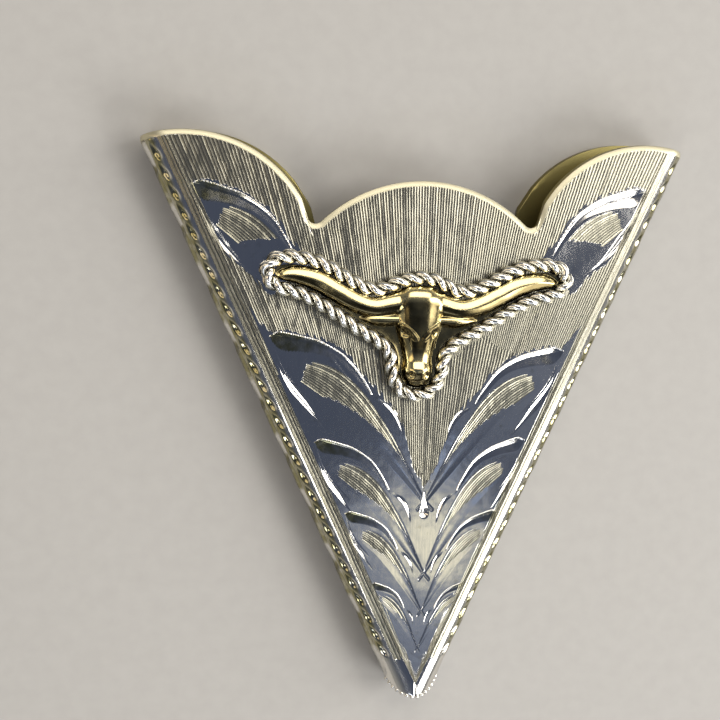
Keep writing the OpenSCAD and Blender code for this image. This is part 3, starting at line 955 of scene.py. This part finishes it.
rope_points = on_face(np.column_stack([ring, np.full(len(ring), rope_half)]))
rope_line = thread("rope_line", rope_points, closed=True)
twist, given = tree_with("twisted_strands", (
    ("Turns", "Int"), ("Rings", "Int"), ("Sides", "Int"), ("Strand radius", "Float"),
    ("Strand offset", "Float"), ("Material", "Material"),
))
line = add(twist, "GeometryNodeMeshToCurve", {"Mesh": given["Geometry"]})
even = add(twist, "GeometryNodeResampleCurve", {"Curve": line, "Count": given["Rings"]})
along = add(twist, "GeometryNodeSplineParameter").outputs["Factor"]
ahead = add(twist, "GeometryNodeInputTangent")
full_turn = add(twist, "Math", {0: given["Turns"], 1: 2 * math.pi}, operation="MULTIPLY")
angle = add(twist, "Math", {0: along, 1: full_turn}, operation="MULTIPLY")
across = add(twist, "VectorMath", {0: (0, 0, 1), 1: ahead}, operation="CROSS_PRODUCT")
profile = add(twist, "GeometryNodeCurvePrimitiveCircle", {
    "Resolution": given["Sides"], "Radius": given["Strand radius"],
})
strands = add(twist, "GeometryNodeJoinGeometry")
for phase in (0.0, math.pi):
    turned = add(twist, "Math", {0: angle, 1: phase}, operation="ADD")
    cosine = add(twist, "Math", {0: turned}, operation="COSINE")
    sine = add(twist, "Math", {0: turned}, operation="SINE")
    sideways = add(twist, "VectorMath", {0: across, "Scale": cosine}, operation="SCALE")
    upwards = add(twist, "CombineXYZ", {"Z": sine})
    out = add(twist, "VectorMath", {0: sideways, 1: upwards}, operation="ADD")
    offset = add(twist, "VectorMath", {0: out, "Scale": given["Strand offset"]}, operation="SCALE")
    moved = add(twist, "GeometryNodeSetPosition", {"Geometry": even, "Offset": offset})
    strand = add(twist, "GeometryNodeCurveToMesh", {"Curve": moved, "Profile Curve": profile})
    feed(strands, {0: strand})
realized = add(twist, "GeometryNodeRealizeInstances", {0: strands})
coated = add(twist, "GeometryNodeSetMaterial", {"Geometry": realized, "Material": given["Material"]})
add(twist, "NodeGroupOutput", {0: coated})
rope_wire = grown(rope_line, twist, {
    "Turns": rope_turns, "Rings": rope_turns * rings_per_turn, "Sides": strand_sides,
    "Strand radius": strand_half * MM, "Strand offset": strand_out * MM, "Material": silver_wire,
}, "rope_wire")
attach(rope_wire, "root")
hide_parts("rope_border")

# Longhorn: a steer's head in relief, one casting of gold-plated brass with its plate. Its top
# is one surface of heights, with horns, ears, skull and muzzle blended where they meet.
plate_h, plate_inset = 0.35, 0.64
HORN = [
    # x, y, half width, height
    (0.0, -0.2, 1.1, 1.25), (1.9, -0.5, 1.02, 1.2), (3.7, -0.82, 0.94, 1.1), (5.3, -0.42, 0.94, 1.05),
    (6.9, 0.38, 0.95, 1.05), (8.5, 1.2, 0.94, 1.0), (10.2, 1.6, 0.8, 0.92), (11.35, 1.55, 0.55, 0.75),
    (11.8, 1.45, 0.3, 0.55)
]
EAR = [
    (1.6, -1.8, 0.5, 0.95), (3.0, -1.86, 0.62, 0.9), (4.1, -1.85, 0.45, 0.75), (4.9, -1.8, 0.15, 0.45)
]
SKULL = [
    # y, half width, height
    (-7.5, 0.3, 0.5), (-7.1, 0.9, 1.1), (-6.5, 1.22, 1.5), (-5.9, 1.32, 1.67), (-5.2, 1.26, 1.4),
    (-4.4, 1.4, 1.32), (-3.4, 1.7, 1.42), (-2.4, 2.0, 1.5), (-1.4, 2.15, 1.52), (-0.5, 2.25, 1.5),
    (0.2, 2.05, 1.42), (0.75, 1.6, 1.12), (1.05, 1.1, 0.6)
]
BROW = [(0.35, -3.3, 0.22, 0.16), (0.9, -2.75, 0.26, 0.2), (1.55, -2.25, 0.24, 0.16)]


def ridge(points, rows, slanted=False):
    """Height of a ridge that follows rows of place, half width and height."""
    rows = smooth_line(rows)
    line = rows[:, :2]
    far, place = to_line(points, line)
    half, tall = (np.interp(place, np.linspace(0, 1, len(rows)), rows[:, k]) for k in (2, 3))
    if slanted:
        # The crest lies below the middle: a broad slope faces up, a short round one down
        above = points[:, 1] - np.interp(points[:, 0], line[:, 0], line[:, 1])
        across = np.clip(far / half * np.sign(above), -1, 1)
        crest, upper_drop, lower_drop = -0.1, 0.42, 0.3
        rise = np.clip((across - crest) / (1 - crest), 0, 1)
        fall = np.clip((crest - across) / (1 + crest), 0, 1)
        upper = (1 - upper_drop * rise**1.5) * np.sqrt(1 - rise**8)
        lower = (1 - lower_drop * fall) * np.sqrt(1 - fall**5)
        return tall * np.where(across > crest, upper, lower)
    return tall * np.sqrt(np.maximum(1 - (far / half) ** 2, 0))


def blend(a, b, width):
    """The higher of two heights, rounded where they meet."""
    return np.maximum(a, b) + np.maximum(width - np.abs(a - b), 0) ** 2 / (4 * width)


def dent(points, middle, radius, sunk):
    """Depth of a round hollow."""
    far = np.hypot(points[:, 0] - middle[0], points[:, 1] - middle[1]) / radius
    return sunk * np.maximum(1 - far**2, 0) ** 1.5


tangent = np.roll(ring, -1, axis=0) - np.roll(ring, 1, axis=0)
tangent /= np.linalg.norm(tangent, axis=1, keepdims=True)
plate_line = ring + plate_inset * np.stack([tangent[:, 1], -tangent[:, 0]], -1)
right_end, left_end = np.argmax(plate_line[:, 0]), np.argmin(plate_line[:, 0])
upper_line, lower_line = (
    np.roll(plate_line, -first, axis=0)[:(last - first) % len(ring) + 1]
    for first, last in ((left_end, right_end), (right_end, left_end))
)
lower_line = lower_line[::-1]
skull_reach, horn_columns, skull_columns, head_row_count = 2.4, 130, 90, 120
head_columns = np.concatenate([
    np.linspace(upper_line[0, 0], -skull_reach, horn_columns, endpoint=False),
    np.linspace(-skull_reach, skull_reach, skull_columns, endpoint=False),
    np.linspace(skull_reach, upper_line[-1, 0], horn_columns + 1)
])
head_rows = np.linspace(0, 1, head_row_count)
column_top, column_low = (
    np.interp(head_columns, np.maximum.accumulate(side[:, 0]), side[:, 1])
    for side in (upper_line, lower_line)
)
grid_x = np.broadcast_to(head_columns, (len(head_rows), len(head_columns)))
grid_y = column_low + head_rows[:, None] * (column_top - column_low)
flat = np.stack([np.abs(grid_x.ravel()), grid_y.ravel()], -1)
skull = smooth_line(SKULL)
half = np.interp(flat[:, 1], skull[:, 0], skull[:, 1], left=0.01, right=0.01)
tall = np.interp(flat[:, 1], skull[:, 0], skull[:, 2], left=0, right=0)
flat_top, steepness = 3, 0.68
crown = tall * np.maximum(1 - (flat[:, 0] / half) ** flat_top, 0) ** steepness
brow_blend, horn_blend, ear_blend, plate_blend = 0.05, 0.3, 0.12, 0.12
crown = blend(crown, crown + ridge(flat, BROW), brow_blend)
eye, nostril, mouth_y, mouth_w, mouth_deep = (1.2, -2.85), (0.62, -6.35), -6.95, 0.1, 0.1
crown -= dent(flat, eye, 0.42, 0.26) - dent(flat, eye, 0.2, 0.16)
mouth = mouth_deep * np.exp(-((flat[:, 1] - mouth_y) / mouth_w) ** 2)
crown -= dent(flat, nostril, 0.34, 0.3) + mouth
rim_near, _ = to_line(flat, plate_line[plate_line[:, 0] > -0.3])
plate_rim_h, plate_rim_w = 0.08, 0.4
dish = plate_h + plate_rim_h * np.exp(-rim_near / plate_rim_w)
top = blend(blend(ridge(flat, HORN, slanted=True), crown, horn_blend), ridge(flat, EAR), ear_blend)
top = blend(top, dish, plate_blend).reshape(grid_x.shape)
head_top = on_face(np.stack([grid_x.ravel(), grid_y.ravel(), top.ravel()], -1))
# Painted shade in olive brown on the slopes that face the point, where the horns' lower flanks mirror
# dark surroundings, and darker in the hollows, on the plate and on part of the forehead
rise_y = np.gradient(top, axis=0) / np.maximum(np.gradient(grid_y, axis=0), 1e-3)
low_h, forehead_h, forehead_w, forehead_top, forehead_foot = 0.75, 1.25, 2.1, 0.1, -5.2
painted_shade = np.clip((rise_y - 0.1) / 0.3, 0, 1) + 0.6 * np.clip((low_h - top) / 0.3, 0, 1)
forehead = (top > forehead_h) * (np.abs(grid_x) < forehead_w)
forehead = forehead * np.clip((forehead_top - grid_y) / 0.5, 0, 1)
painted_shade += 0.75 * forehead * np.clip((grid_y - forehead_foot) / 0.8, 0, 1)
head_index = np.arange(grid_x.size).reshape(grid_x.shape)
border = np.concatenate([
    head_index[0], head_index[1:, -1], head_index[-1, -2::-1], head_index[-2:0:-1, 0]
])
foot = head_top[border].copy()
foot[:, 2] = seat
foot_index = grid_x.size + np.arange(len(border))
head_faces = grid_faces(head_index).tolist()
head_faces += np.stack([border, foot_index, np.roll(foot_index, -1), np.roll(border, -1)], -1).tolist()
head_mesh = bpy.data.meshes.new("steer_head")
head_mesh.from_pydata((np.concatenate([head_top, foot]) * MM).tolist(), [], head_faces)
head_mesh.shade_smooth()
layer = head_mesh.attributes.new("painted_shade", "FLOAT", "POINT")
painted_shade = np.concatenate([np.clip(painted_shade, 0, 1).ravel(), np.ones(len(border))])
layer.data.foreach_set("value", painted_shade.astype(np.float32))

# Gold plate, bright where it is raised, with painted shade in olive brown on the slopes facing the
# point, in the hollows and down on the plate
gold_plate, tree, shader = new_material("gold_plate_painted_shade", {"Metallic": 1.0})
place = add(tree, "TexCoord").outputs["Object"]
dark = add(tree, "Attribute", attribute_name="painted_shade").outputs["Fac"]
shade_noise = add(tree, "TexNoise", {"Vector": place, "Scale": 900.0, "Detail": 4.0})
ragged_shade = add(tree, "Math", {0: shade_noise, 1: 0.5, 2: dark}, operation="MULTIPLY_ADD")
gold_shade_share = add(tree, "MapRange", {0: ragged_shade, 1: 0.3, 2: 1.1})
tone = add(tree, "Mix", {0: gold_shade_share, 6: "#E8D69C", 7: "#50472F"}, data_type="RGBA")
pitted = add(tree, "TexNoise", {"Vector": place, "Scale": 1500.0, "Detail": 4.0})
sheen = add(tree, "MapRange", {0: pitted, 3: 0.1, 4: 0.26})
soft = add(tree, "TexNoise", {"Vector": place, "Scale": 700.0, "Detail": 3.0})
relief = add(tree, "Bump", {"Height": soft, "Distance": 0.02 * MM, "Strength": 0.7})
feed(shader, {"Base Color": tone.outputs[2], "Roughness": sheen, "Normal": relief})
head_mesh.materials.append(gold_plate)
steer_head = put_in("steer_head", head_mesh)
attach(steer_head, "root")
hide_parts("longhorn")
